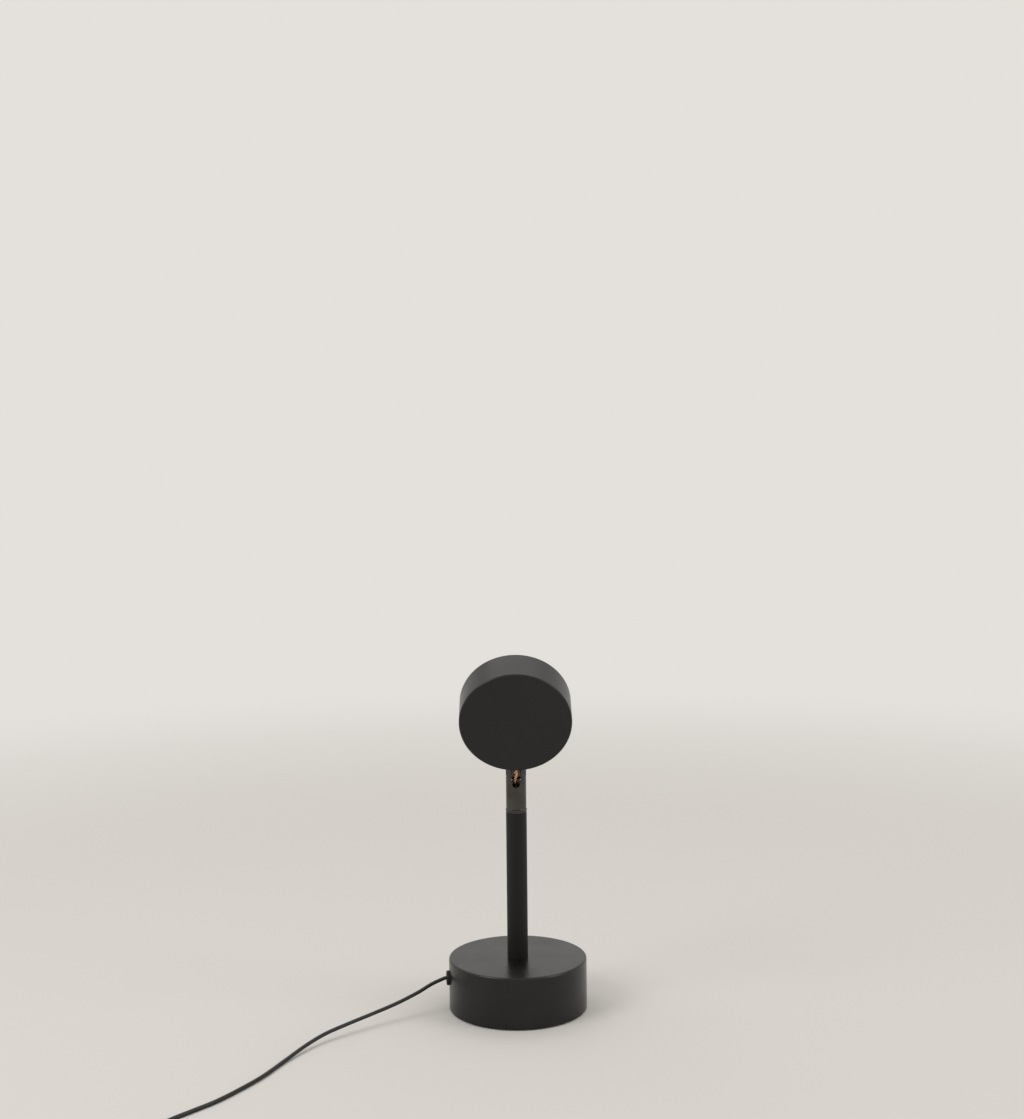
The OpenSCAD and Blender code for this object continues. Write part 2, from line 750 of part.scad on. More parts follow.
module head_grommet() {
    color(rubber) difference() {
        in_head() translate([0, 0, grommet_z]) rotate([-90, 0, 0]) difference() {
            union() {
                translate([0, 0, can_r - 1.2]) cylinder(r = grommet_r, h = 1.6);
                translate([0, 0, can_r - 1.2]) cylinder(r = grommet_neck, h = head_wall + 2.2);
                translate([0, 0, head_r - 0.4]) cylinder(r = grommet_r, h = 1.4);
            }
            cylinder(r = wire_d / 2 + 0.1, h = head_r + 4);
        }
        in_head() difference() {
            rotate_extrude() translate([can_r, -head_l]) square([head_wall, 2 * head_l]);
            translate([0, 0, grommet_z]) rotate([-90, 0, 0]) cylinder(r = grommet_neck, h = head_r + 4);
        }
    }
}

module head_lead() {
    pad_y = board_r - 2.4;
    color(clear_wire) in_head() sweep([
        [0, can_r, grommet_z], [0, can_r - sink_gap / 2, grommet_z],
        [0, sink_r + wire_d / 2 + 0.2, sink_z - 0.2],
        [0, (can_r + pad_y) / 2 - 1, board_z + wire_d / 2 + 0.6], [0, pad_y, board_z + wire_d / 2 + 0.1]
    ], wire_d / 2, [1, 0, 0], 4);
}

module bezel_ring() {
    edge = 0.5;
    outer = can_r - fit_gap;
    inner_z = lens_front + gasket_t;
    color("#4a4038") in_head() rotate_extrude() polygon([
        [bezel_in, inner_z], [outer - skirt_t, inner_z], [outer - skirt_t, bezel_back - bezel_skirt],
        [outer, bezel_back - bezel_skirt], [outer, bezel_back], [head_r, bezel_back],
        [head_r, front_z - edge], [head_r - edge, front_z], [bezel_in + mouth_bevel, front_z],
        [bezel_in, front_z - mouth_bevel]
    ]);
}

module lens_body() {
    rotate_extrude() intersection() {
        translate([0, lens_z]) square([lens_r, lens_rim + lens_curve]);
        translate([0, lens_front - lens_bow]) circle(lens_curve, $fn = 256);
    }
}

module lens() {
    color([1, 0.86, 0.7, 0.6]) in_head() lens_body();
}

module lens_gasket() {
    color(rubber) in_head() rotate_extrude() difference() {
        translate([bezel_in, lens_front]) square([lens_lap, gasket_t]);
        translate([0, lens_front - lens_bow]) circle(lens_curve, $fn = 256);
    }
}

// The black tube from the board to the lens: light chamber, filter seat, cone and lens cup
module optic_tube() {
    seat = bezel_in - 0.5;
    cone_z = filter_z + filter_t + clip_ring_t;
    cup_top = lens_front - 0.2;
    wall_r = filter_r + fit_gap + optic_wall;
    color(black) in_head() rotate_extrude() polygon([
        [chamber_r, board_z], [wall_r, board_z], [wall_r, cone_z], [cup_r, lens_z - optic_wall],
        [cup_r, cup_top], [lens_r + lens_play, cup_top], [lens_r + lens_play, lens_z],
        [seat, lens_z], [filter_r + fit_gap, cone_z], [filter_r + fit_gap, filter_z], [chamber_r, filter_z]
    ]);
}

module filter_disc() {
    color([1, 0.45, 0.12, 0.8]) in_head() translate([0, 0, filter_z]) cylinder(r = filter_r, h = filter_t);
}

module filter_clip() {
    color(steel) in_head() translate([0, 0, filter_z + filter_t])
        pipe(filter_r, filter_r - 1.5, clip_ring_t);
}

module at_board_screws(i = -1) {
    for (k = [0, 1])
        if (i < 0 || i == k) rotate([0, 0, 180 * k]) translate([board_screw_r, 0, board_z]) children();
}

module led_board() {
    color("#e8e8e4") in_head() difference() {
        translate([0, 0, sink_z]) cylinder(r = board_r, h = board_t);
        at_board_screws() translate([0, 0, -board_t - 1])
            cylinder(r = board_screw_d / 2 + fit_gap, h = board_t + 2);
    }
}

module led_package() {
    body_w = 7;
    body_t = 0.9;
    dome_r = 2.9;
    color("#f4d774") in_head() translate([0, 0, board_z]) {
        translate([-body_w / 2, -body_w / 2, 0]) cube([body_w, body_w, body_t]);
        intersection() {
            translate([0, 0, body_t - 1.2]) sphere(dome_r);
            translate([-body_w / 2, -body_w / 2, body_t - eps]) cube([body_w, body_w, body_w]);
        }
    }
}

module board_screw(i) {
    color(steel) in_head() at_board_screws(i) {
        cylinder(r = 2.1, h = 1.3);
        translate([0, 0, 0.2 - board_t - sink_t]) cylinder(r = board_screw_d / 2, h = board_t + sink_t);
    }
}

module board_screw_1() { board_screw(0); }
module board_screw_2() { board_screw(1); }

module heat_sink() {
    fins = floor((sink_r - 3) / fin_pitch);
    color(steel) in_head() difference() {
        union() {
            translate([0, 0, sink_z - sink_t]) cylinder(r = sink_r, h = sink_t);
            intersection() {
                translate([0, 0, bay_back]) cylinder(r = sink_r, h = fin_h + sink_t);
                for (k = [-fins : fins])
                    translate([-sink_r, k * fin_pitch - fin_t / 2, bay_back])
                        cube([2 * sink_r, fin_t, fin_h + 1]);
            }
        }
        at_board_screws() translate([0, 0, -board_t - sink_t - fin_h])
            cylinder(r = board_screw_d / 2 + fit_gap, h = fin_h + sink_t + 2);
    }
}

// ---- lead, switch, coil and plug ----

module cord() {
    start = [for (x = [gland_in, shell_r, gland_tip + 1]) gland_point(x, gland_z)];
    color(rubber) sweep(concat(start, cord_route), cord_d / 2);
}

module cord_link() { color(rubber) sweep(link_route, cord_d / 2); }
module cord_tail() { color(rubber) sweep(tail_route, cord_d / 2); }

module cord_coil() {
    edge = 1.4;
    color(rubber) translate([coil_x, coil_y, coil_z]) rotate_extrude() translate([coil_d / 2, coil_h / 2]) {
        square([coil_w - 2 * edge, coil_h], center = true);
        square([coil_w, coil_h - 2 * edge], center = true);
        for (x = [-1, 1], z = [-1, 1])
            translate([x * (coil_w / 2 - edge), z * (coil_h / 2 - edge)]) circle(edge);
    }
}

// A strap round one side of the coil, straight where the coil is round
module coil_strap() {
    play = 0.1;
    near = sqrt(pow((coil_d - coil_w) / 2, 2) - pow(strap_w / 2, 2)) - play;
    far = (coil_d + coil_w) / 2 + play;
    color(black) translate([coil_x - strap_w / 2, coil_y, 0]) rotate([90, 0, 90])
        linear_extrude(strap_w) difference() {
            translate([-far - strap_t, 0])
                square([far - near + 2 * strap_t, coil_h + 2 * play + 2 * strap_t]);
            translate([-far, strap_t]) square([far - near, coil_h + 2 * play]);
        }
}

// The outer form of the switch: a stadium in plan, with rounded long edges
module switch_form(inset = 0) {
    l = switch_l - 2 * inset;
    w = switch_w - 2 * inset;
    h = switch_h - 2 * inset;
    edge = max(0.4, switch_edge - inset);
    intersection() {
        translate([0, 0, inset]) linear_extrude(h) {
            square([l - w, w], center = true);
            for (x = [-1, 1]) translate([x * (l - w) / 2, 0]) circle(w / 2);
        }
        translate([-l, 0, switch_mid]) rotate([90, 0, 90]) linear_extrude(2 * l) {
            square([w, h - 2 * edge], center = true);
            square([w - 2 * edge, h], center = true);
            for (x = [-1, 1], z = [-1, 1]) translate([x * (w / 2 - edge), z * (h / 2 - edge)]) circle(edge);
        }
    }
}

// A fine groove where the two halves meet
module switch_groove() {
    l = switch_l - seam_cut;
    w = switch_w - seam_cut;
    translate([0, 0, switch_mid - seam_cut / 2]) linear_extrude(seam_cut) difference() {
        square([2 * switch_l, 2 * switch_w], center = true);
        square([l - w, w], center = true);
        for (x = [-1, 1]) translate([x * (l - w) / 2, 0]) circle(w / 2);
    }
}

module at_switch() { translate([switch_x, switch_y, 0]) children(); }

module switch_cord_hole() {
    translate([-switch_l, 0, switch_mid]) rotate([0, 90, 0]) cylinder(r = lead_r, h = 2 * switch_l);
}

module at_switch_screws(i = -1) {
    for (k = [0, 1]) if (i < 0 || i == k) translate([(k - 0.5) * switch_screw_gap, -4.6, 0]) children();
}

module switch_lower() {
    color(black) at_switch() difference() {
        union() {
            difference() {
                switch_form();
                switch_form(switch_wall);
            }
            at_switch_screws() translate([0, 0, 1]) cylinder(r = 2.4, h = switch_mid);
            for (side = [-1, 1]) translate([side * (switch_l / 2 - 5) - 1, -3, 1]) cube([2, 6, switch_mid]);
        }
        translate([-switch_l, -switch_w, switch_mid]) cube([2 * switch_l, 2 * switch_w, switch_h]);
        switch_groove();
        switch_cord_hole();
        at_switch_screws() screw_hole(2, 3.8, 1.2, switch_h - 4);
    }
}

module switch_upper() {
    rib_x = 6;
    frame = 1.3;
    color(black) at_switch() difference() {
        union() {
            translate([0, 0, switch_h - 1]) linear_extrude(1.5) {
                square([rocker_slot_l, rocker_slot_w + 2 * frame], center = true);
                square([rocker_slot_l + 2 * frame, rocker_slot_w], center = true);
                for (x = [-1, 1], y = [-1, 1])
                    translate([x * rocker_slot_l / 2, y * rocker_slot_w / 2]) circle(frame);
            }
            difference() {
                switch_form();
                switch_form(switch_wall);
            }
            for (side = [-1, 1])
                translate([-rib_x / 2, side * (rocker_slot_w + rib_t) / 2 - rib_t / 2, switch_mid + 0.4])
                    cube([rib_x, rib_t, switch_h - switch_mid - 1.4]);
            at_switch_screws() translate([0, 0, switch_mid]) cylinder(r = 2.4, h = switch_mid - 1);
        }
        translate([-switch_l, -switch_w, -1]) cube([2 * switch_l, 2 * switch_w, switch_mid + 1]);
        translate([-rocker_slot_l / 2, -rocker_slot_w / 2, switch_mid])
            cube([rocker_slot_l, rocker_slot_w, switch_h]);
        translate([0, -rocker_slot_w / 2 - rib_t - 1, rocker_z]) rotate([-90, 0, 0])
            cylinder(r = rocker_pin_r + run_gap, h = rocker_slot_w + 2 * rib_t + 2);
        switch_groove();
        switch_cord_hole();
        at_switch_screws() cylinder(r = 1 + fit_gap, h = switch_h - 2.2);
    }
}

module switch_screw(i) {
    color(steel) at_switch() at_switch_screws(i) screw(2, 3.8, 1.2, switch_h - 3.5);
}

module switch_screw_1() { switch_screw(0); }
module switch_screw_2() { switch_screw(1); }

// A rocker with a shallow V top; it rests with one side down
module switch_rocker() {
    valley = 2.2;
    rise = 1.1;
    below = 1.8;
    reach = rocker_r + 1;
    color(satin) at_switch() translate([0, 0, rocker_z]) rotate([0, rocker_swing / 2, 0]) {
        rotate([90, 0, 0]) linear_extrude(rocker_w, center = true) intersection() {
            polygon([
                [-reach, -below], [reach, -below], [reach, valley + rise], [0, valley],
                [-reach, valley + rise]
            ]);
            circle(rocker_r);
        }
        rotate([90, 0, 0]) cylinder(r = rocker_pin_r, h = rocker_slot_w + 2 * rib_t - 0.2, center = true);
    }
}

module switch_contacts() {
    strip_t = 0.5;
    color(brass) at_switch() for (side = [-1, 1]) {
        translate([side * 11 - 2, -2, switch_wall]) cube([4, 4, strip_t]);
        translate([side * 11 - strip_t / 2, -2, switch_wall]) cube([strip_t, 4, 3.4]);
    }
}

module at_plug() { translate([plug_x, plug_y, plug_z]) children(); }

module plug_shape() {
    edge = 2;
    shoulder = 3;
    intersection() {
        translate([relief_l, 0, -grip_h]) linear_extrude(2 * grip_h) {
            translate([shoulder, -grip_w / 2]) square([grip_l - relief_l - shoulder, grip_w]);
            translate([0, -grip_w / 2 + shoulder]) square([grip_l - relief_l, grip_w - 2 * shoulder]);
            for (y = [-1, 1]) translate([shoulder, y * (grip_w / 2 - shoulder)]) circle(shoulder);
        }
        rotate([90, 0, 90]) linear_extrude(grip_l) {
            square([grip_w, grip_h - 2 * edge], center = true);
            square([grip_w - 2 * edge, grip_h], center = true);
            for (y = [-1, 1], z = [-1, 1])
                translate([y * (grip_w / 2 - edge), z * (grip_h / 2 - edge)]) circle(edge);
        }
    }
}

module plug_grip() {
    rings = 4;
    ribs = 5;
    color(rubber) at_plug() difference() {
        union() {
            plug_shape();
            rotate([0, 90, 0]) cylinder(r = relief_r, h = relief_l + 1);
        }
        for (k = [0 : ribs - 1], side = [-1, 1])
            translate([relief_l + 5 + k * 1.6, 0, side * grip_h / 2])
                cube([0.8, grip_w * 0.56, 0.7], center = true);
        for (k = [0 : rings - 1]) translate([1 + k * 1.8, 0, 0]) rotate([0, 90, 0])
            pipe(relief_r + 1, relief_r - 0.5, 0.8);
        translate([-1, 0, 0]) rotate([0, 90, 0]) cylinder(r = lead_r, h = relief_l);
        translate([grip_l - usb_in, -usb_w / 2 - fit_gap, -usb_h / 2 - fit_gap])
            cube([usb_in + 1, usb_w + 2 * fit_gap, usb_h + 2 * fit_gap]);
    }
}

module plug_shell() {
    l = usb_in + usb_l;
    window_w = 2.2;
    color(steel) at_plug() translate([grip_l - usb_in, 0, 0]) difference() {
        translate([0, -usb_w / 2, -usb_h / 2]) cube([l, usb_w, usb_h]);
        translate([-1, -usb_w / 2 + usb_wall, -usb_h / 2 + usb_wall])
            cube([l + 2, usb_w - 2 * usb_wall, usb_h - 2 * usb_wall]);
        for (y = [-1, 1])
            translate([usb_in + usb_l * 0.42, y * usb_w * 0.21 - window_w / 2, -usb_h])
                cube([window_w, window_w, 2 * usb_h]);
    }
}

module plug_insert() {
    w = usb_w - 2 * usb_wall - 2 * fit_gap;
    h = usb_h - 2 * usb_wall - 2 * fit_gap;
    color("#e9e7e1") at_plug() translate([grip_l - usb_in, -w / 2, -h / 2]) {
        cube([usb_in - 1, w, h]);
        cube([usb_in + usb_l - 1, w, h / 2]);
    }
}

module plug_contacts() {
    h = usb_h - 2 * usb_wall - 2 * fit_gap;
    color(brass) at_plug() for (k = [-1.5 : 1 : 1.5])
        translate([grip_l + 1, k * 2.4 - 0.6, 0]) cube([usb_l - 3, 1.2, min(0.25, h / 8)]);
}

base_shell();
base_cover();
foot_ring();
ballast();
cover_screw_1();
cover_screw_2();
cover_screw_3();
stem_tube();
stem_washer();
stem_nut();
swivel_bush();
gland();
gland_nut();
cord_clamp();
clamp_screw_1();
clamp_screw_2();
stem_lead();
neck();
neck_clip();
pivot_screw();
pivot_nut();
friction_washer_1();
friction_washer_2();
joint_lead();
tongue();
tongue_washer();
tongue_nut();
head_can();
head_grommet();
head_lead();
bezel_ring();
lens_gasket();
lens();
optic_tube();
filter_disc();
filter_clip();
led_board();
led_package();
board_screw_1();
board_screw_2();
heat_sink();
cord();
switch_lower();
switch_upper();
switch_rocker();
switch_contacts();
switch_screw_1();
switch_screw_2();
cord_link();
cord_coil();
coil_strap();
cord_tail();
plug_grip();
plug_shell();
plug_insert();
plug_contacts();
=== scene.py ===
"""Sunset projection lamp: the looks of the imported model, in metres, in the model's own frame.

+Z is up, +Y is the way the lamp shines, and the foot stands on z = 0.
"""

import math

import bmesh
import bpy
from mathutils import Matrix, Vector


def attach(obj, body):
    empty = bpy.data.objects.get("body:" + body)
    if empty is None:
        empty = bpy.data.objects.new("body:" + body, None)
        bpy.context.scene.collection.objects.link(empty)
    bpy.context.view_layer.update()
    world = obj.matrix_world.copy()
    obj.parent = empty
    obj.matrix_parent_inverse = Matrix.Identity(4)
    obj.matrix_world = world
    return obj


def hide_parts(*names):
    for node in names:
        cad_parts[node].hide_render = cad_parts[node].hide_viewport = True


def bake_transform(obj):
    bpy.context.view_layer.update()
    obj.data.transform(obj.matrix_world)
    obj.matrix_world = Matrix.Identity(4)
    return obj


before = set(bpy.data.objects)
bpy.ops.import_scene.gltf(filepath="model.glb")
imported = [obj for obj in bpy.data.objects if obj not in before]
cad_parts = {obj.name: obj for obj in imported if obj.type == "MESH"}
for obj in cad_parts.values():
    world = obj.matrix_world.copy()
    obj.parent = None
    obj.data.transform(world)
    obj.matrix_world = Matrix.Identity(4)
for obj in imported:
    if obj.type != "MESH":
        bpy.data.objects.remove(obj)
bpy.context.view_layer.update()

MM = 0.001

# Sizes and places that the model's source gives, in millimetres and radians
PIVOT_Z = 166.05
HEAD_TILT = math.radians(22.8)
HEAD_R, HEAD_GAP = 38.2, 9.8
GLAND_TURN = math.radians(6)
CORD_D, CORD_EXIT_Z = 2.5, 22.5
SWITCH = Vector((-150, -230, 0))
ROCKER_Z, ROCKER_TURN = 9.0, math.radians(7)
ROCKER_LOW, ROCKER_RISE, ROCKER_HALF = 2.2, 1.1, 8.5
COIL = Vector((-75, -244, 0))

# The head's own frame: its +Z is the way it shines, and its +Y points at the knuckle
HEAD_FRAME = (Matrix.Translation((0, 0, PIVOT_Z * MM)) @ Matrix.Rotation(HEAD_TILT, 4, "X")
              @ Matrix.Translation((0, 0, (HEAD_GAP + HEAD_R) * MM))
              @ Matrix.Rotation(math.radians(-90), 4, "X"))


# ---- camera, fitted to the outlines of the base, the stem and the head in the photograph ----

# The place is in metres, the turns in degrees, and the sensor and the lens in millimetres
CAMERA_AT = (-0.00121, -1.0954, 0.3912)
CAMERA_DOWN, CAMERA_RIGHT = 4.053, 0.586
SENSOR_W, LENS = 36, 51.475

bpy.ops.object.camera_add(location=CAMERA_AT)
camera = bpy.context.object
camera.rotation_mode = "ZYX"
camera.rotation_euler = (math.radians(90 - CAMERA_DOWN), 0, math.radians(-CAMERA_RIGHT))
camera.data.sensor_width = SENSOR_W
camera.data.lens = LENS
camera.data.clip_start, camera.data.clip_end = 0.01, 50
bpy.context.scene.camera = camera
bpy.context.scene.view_settings.view_transform = "Standard"


# ---- modelling: small helpers ----

# Doubled points lie within MERGE of each other, and a test of a place or a run allows CLOSE
MERGE = 0.000005
CLOSE = 0.01 * MM


def deselect():
    """Leaves edit mode, with nothing selected."""
    if bpy.context.object and bpy.context.object.mode != "OBJECT":
        bpy.ops.object.mode_set(mode="OBJECT")
    bpy.ops.object.select_all(action="DESELECT")


def only(piece):
    """Makes this piece the only selected one, and the active one."""
    deselect()
    piece.select_set(True)
    bpy.context.view_layer.objects.active = piece


def named(name):
    """Names the piece that was just added."""
    piece = bpy.context.object
    piece.name = piece.data.name = name
    return piece


def pick_edges(piece, test):
    """In edit mode, selects the edges whose middle and run pass the test."""
    bpy.ops.mesh.select_all(action="DESELECT")
    bpy.ops.mesh.select_mode(type="EDGE")
    mesh = bmesh.from_edit_mesh(piece.data)
    for edge in mesh.edges:
        start, end = (corner.co for corner in edge.verts)
        edge.select_set(test((start + end) / 2, end - start))
    mesh.select_flush(True)
    bmesh.update_edit_mesh(piece.data)


def place(piece, matrix):
    """Moves and turns the shape as the matrix says, and leaves its object at the origin, unturned."""
    only(piece)
    piece.matrix_world = matrix
    bpy.ops.object.transform_apply(location=True, rotation=True, scale=True)


def outward(piece):
    """Merges doubled points, then turns every face outwards."""
    only(piece)
    bpy.ops.object.mode_set(mode="EDIT")
    bpy.ops.mesh.select_all(action="SELECT")
    bpy.ops.mesh.remove_doubles(threshold=MERGE)
    bpy.ops.mesh.normals_make_consistent(inside=False)
    bpy.ops.object.mode_set(mode="OBJECT")


def modify(piece, modifier, **settings):
    """Adds a modifier and applies it."""
    only(piece)
    added = piece.modifiers.new(modifier.title(), modifier)
    for name, value in settings.items():
        setattr(added, name, value)
    bpy.ops.object.modifier_apply(modifier=added.name)


def smooth_shaded(piece, angle):
    """Shades smooth across every edge that turns by less than the angle, in degrees."""
    only(piece)
    bpy.ops.object.shade_smooth_by_angle(angle=math.radians(angle))
    return piece


# ---- the lead: one length of cord from the base, through the switch, the coil and into the plug ----

ROUTE_STEP = 2
TUBE_SEGMENTS, TUBE_SMOOTH = 6, 60


def bend(points, step):
    """Points along a smooth curve through a route, about step apart at most, in millimetres."""
    out = []
    for i in range(len(points) - 1):
        a, b, c, d = (Vector(points[max(0, min(len(points) - 1, i + k))]) for k in (-1, 0, 1, 2))
        count = max(1, math.ceil((c - b).length / step))
        for k in range(count):
            t = k / count
            out.append(0.5 * (2 * b + (c - a) * t + (2 * a - 5 * b + 4 * c - d) * t * t
                              + (3 * b - a - 3 * c + d) * t ** 3))
    return out + [Vector(points[-1])]


# Straight out through the gland, at these distances from the lamp's axis, then down to the floor and
# round to the switch, from there to the coil, and from the coil to the plug
start_route = [(-out * math.cos(GLAND_TURN), -out * math.sin(GLAND_TURN), CORD_EXIT_Z)
               for out in (39.5, 48, 51)]
cord_route = [
    (-60, -9, 19.5), (-69, -15.5, 16), (-83, -25.5, 12), (-98, -36, 9), (-114, -50, 7),
    (-128, -63.5, 5.2), (-139, -79, 3.2), (-150, -101, 1.5), (-160, -125, 1.35), (-171, -145, 1.35),
    (-182, -162, 1.35), (-194, -176, 1.35), (-205, -189, 1.35), (-213, -203, 1.35),
    (-212, -218, 1.35), (-201, -228, 2.3), (-188, -230, 5), (-180, -230, 6), (-170, -230, 6),
]
link_route = [
    (-130, -230, 6), (-120, -230, 6), (-112, -229.5, 5),
    (-103, -228, 3.2), (-93, -226.8, 2.4), (-84, -226.4, 2.2),
]
tail_route = [
    (-66, -226.5, 9.6), (-57, -226.9, 8.4), (-49, -228.2, 6.5),
    (-42, -231, 4.5), (-36, -232, 3.9), (-30, -232, 3.9),
]

# The coil is wound as by hand: each layer is two turns that spiral, and one that climbs to the next
COIL_TURNS, TURNS_A_LAYER, POINTS_A_TURN = 11, 3, 60
COIL_OUT, COIL_IN, COIL_LOW, COIL_LAY, COIL_SWELL = 17.6, 12.4, 2.2, 2.6, 0.8
COIL_START = math.radians(90)
coil_route = []
for step in range(COIL_TURNS * POINTS_A_TURN + 1):
    turn = min(step // POINTS_A_TURN, COIL_TURNS - 1)
    u = step / POINTS_A_TURN - turn
    layer, part = divmod(turn, TURNS_A_LAYER)
    inward = layer % 2 == 0
    if part < TURNS_A_LAYER - 1:
        radius = COIL_OUT - COIL_LAY * (part + u) if inward else COIL_IN + COIL_LAY * (part + u)
        height = COIL_LOW + COIL_LAY * layer
    else:
        swell = COIL_SWELL * math.sin(math.pi * u)
        radius = COIL_IN - swell if inward else COIL_OUT + swell
        height = COIL_LOW + COIL_LAY * (layer + u * u * (3 - 2 * u))
    angle = COIL_START - 2 * math.pi * u
    coil_route.append((COIL.x + radius * math.cos(angle), COIL.y + radius * math.sin(angle), height))

# The stretches into and out of the coil are bent together with points from both sides, so that they join
# smoothly, and the points that are in the route already are cut off again
LINK_END_POINTS = 5
into_coil = bend(link_route[-2:] + coil_route[:3], ROUTE_STEP)[LINK_END_POINTS:-1]
out_of_coil = bend(coil_route[-2:] + tail_route, ROUTE_STEP)[1:]
whole_route = (bend(start_route + cord_route + link_route, ROUTE_STEP)[:-1] + into_coil
               + [Vector(point) for point in coil_route[2:-1]] + out_of_coil)


def tube(name, route, radius):
    """A round tube along a route in millimetres, made from a curve and turned into a mesh."""
    line = bpy.data.curves.new(name, "CURVE")
    line.dimensions, line.use_fill_caps = "3D", True
    line.bevel_depth, line.bevel_resolution = radius * MM, TUBE_SEGMENTS
    spline = line.splines.new("POLY")
    spline.points.add(len(route) - 1)
    for point, at in zip(spline.points, route):
        point.co = (*(at * MM), 1)
    piece = bpy.data.objects.new(name, line)
    bpy.context.scene.collection.objects.link(piece)
    only(piece)
    bpy.ops.object.convert(target="MESH")
    return smooth_shaded(named(name), TUBE_SMOOTH)


power_lead = tube("power_lead", whole_route, CORD_D / 2)
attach(power_lead, "base")
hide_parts("cord", "cord_link", "cord_coil", "cord_tail")


# ---- the hook and loop strap round the coil ----

STRAP_W, STRAP_T, STRAP_EDGE, STRAP_STEP = 9.0, 0.8, 0.22, 1.2


def quarter(x, z, radius, first):
    """Five points along a quarter of a circle, clockwise from the first angle in degrees."""
    turns = [math.radians(first - 22.5 * k) for k in range(5)]
    return [(x + radius * math.cos(turn), z + radius * math.sin(turn)) for turn in turns]


def strap_run():
    """The strap's line in metres, drawn first as distance from the coil's middle and height."""
    low, high, near, far = 0.55, 11.9, 8.8, 20.3
    corner, over = 1.8, 1.0
    run = [(12.2, high), (14.4, high)]
    run += quarter(far - corner, high - corner, corner, 90)
    run += quarter(far - corner, low + corner, corner, 0)
    run += quarter(near + corner, low + corner, corner, -90)
    run += quarter(near + corner, high - corner, corner, -180)
    # over its own start, and down the outside as a loose end
    run += [(11.6, high + 0.4), (13.4, high + over), (16.2, high + over)]
    run += quarter(far - corner, high - corner, corner + over, 90)
    run += [(far + over + 0.1, 7.4), (far + over + 0.6, 5.0)]
    bent = bend([(x, z, 0) for x, z in run], STRAP_STEP)
    return [Vector((COIL.x, COIL.y - point.x, point.y)) * MM for point in bent]


# A short stretch of tape, whose end edge is then pulled along the run, step by step
run = strap_run()
deselect()
bpy.ops.mesh.primitive_grid_add(x_subdivisions=6, y_subdivisions=1, size=1, location=(run[0] + run[1]) / 2)
strap = named("hook_loop_strap")
strap.scale = (STRAP_W * MM, (run[1] - run[0]).length, 1)
bpy.ops.object.transform_apply(location=True, scale=True)
bpy.ops.object.mode_set(mode="EDIT")
pick_edges(strap, lambda middle, along: abs(middle.y - run[1].y) < CLOSE)
for before, after in zip(run[1:], run[2:]):
    bpy.ops.mesh.extrude_region_move(TRANSFORM_OT_translate={"value": after - before})
bpy.ops.object.mode_set(mode="OBJECT")
outward(strap)
modify(strap, "SOLIDIFY", thickness=STRAP_T * MM, offset=0)
modify(strap, "BEVEL", width=STRAP_EDGE * MM, segments=2, angle_limit=math.radians(50))
smooth_shaded(strap, 40)
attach(strap, "base")
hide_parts("coil_strap")


# ---- the slack twin lead behind the knuckle: two thin glossy wires, twisted together ----

SLACK_BACK, SLACK_STEP = 6.6, 0.35
WIRE_R, WIRE_GAP, TWIST = 0.6, 0.04, 6.0


def tilted(y, z):
    """A place that tilts with the head, at y and z from the pivot, in millimetres."""
    return Vector((0, y * math.cos(HEAD_TILT) - z * math.sin(HEAD_TILT),
                   PIVOT_Z + y * math.sin(HEAD_TILT) + z * math.cos(HEAD_TILT)))


joint_route = bend([
    (0, 0, 119.4), (0, 0, 154.05), (0, -0.2, 156.45),
    (-0.6, -SLACK_BACK * 0.18, PIVOT_Z - SLACK_BACK * 1.25),
    (-1.1, -SLACK_BACK * 0.55, PIVOT_Z - SLACK_BACK),
    (-0.5, -SLACK_BACK, PIVOT_Z - SLACK_BACK * 0.45),
    tilted(-8.7, 3), tilted(-8.1, 7.5), tilted(-8.1, 11.4)], SLACK_STEP)

wires = []
for side in (0, math.pi):
    travelled, path, across = 0.0, [], Vector((1, 0, 0))
    for i, point in enumerate(joint_route):
        before = joint_route[max(0, i - 1)]
        after = joint_route[min(len(joint_route) - 1, i + 1)]
        along = (after - before).normalized()
        across = (across - along * across.dot(along)).normalized()
        travelled += (point - before).length
        turn = side + 2 * math.pi * travelled / TWIST
        path.append(point + (across * math.cos(turn) + along.cross(across) * math.sin(turn)) * WIRE_R)
    wires.append(tube("twisted_wire", path, WIRE_R - WIRE_GAP / 2))
wires[0].select_set(True)
bpy.ops.object.join()
twin_lead = smooth_shaded(named("twisted_twin_lead"), TUBE_SMOOTH)
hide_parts("joint_lead")
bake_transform(twin_lead)


# ---- the marks printed on the rocker: a bar for on, a ring for off ----

MARK_X = 4.6
BAR_SIZE, BAR_Z, BAR_ROUND = (0.55, 3.0, 0.08), 0.03, 0.26
RING_R, RING_LINE, RING_T, RING_Z = 1.5, 0.5, 0.05, 0.02


def on_rocker(x):
    """A place on the rocker's face, x along it, turned as that half of the face is."""
    rise = ROCKER_LOW + ROCKER_RISE * abs(x) / ROCKER_HALF
    tip = math.copysign(math.atan(ROCKER_RISE / ROCKER_HALF), -x)
    return (Matrix.Translation((SWITCH + Vector((0, 0, ROCKER_Z))) * MM)
            @ Matrix.Rotation(ROCKER_TURN, 4, "Y") @ Matrix.Translation(Vector((x, 0, rise)) * MM)
            @ Matrix.Rotation(tip, 4, "Y"))


deselect()
bpy.ops.mesh.primitive_cube_add(size=1, scale=[side * MM for side in BAR_SIZE], location=(0, 0, BAR_Z * MM))
bar_mark = named("rocker_bar_mark")
bpy.ops.object.transform_apply(location=True, scale=True)
bpy.ops.object.mode_set(mode="EDIT")
pick_edges(bar_mark, lambda middle, along: abs(along.z) > CLOSE)
bpy.ops.mesh.bevel(offset=BAR_ROUND * MM, segments=6)
bpy.ops.object.mode_set(mode="OBJECT")
place(bar_mark, on_rocker(MARK_X))

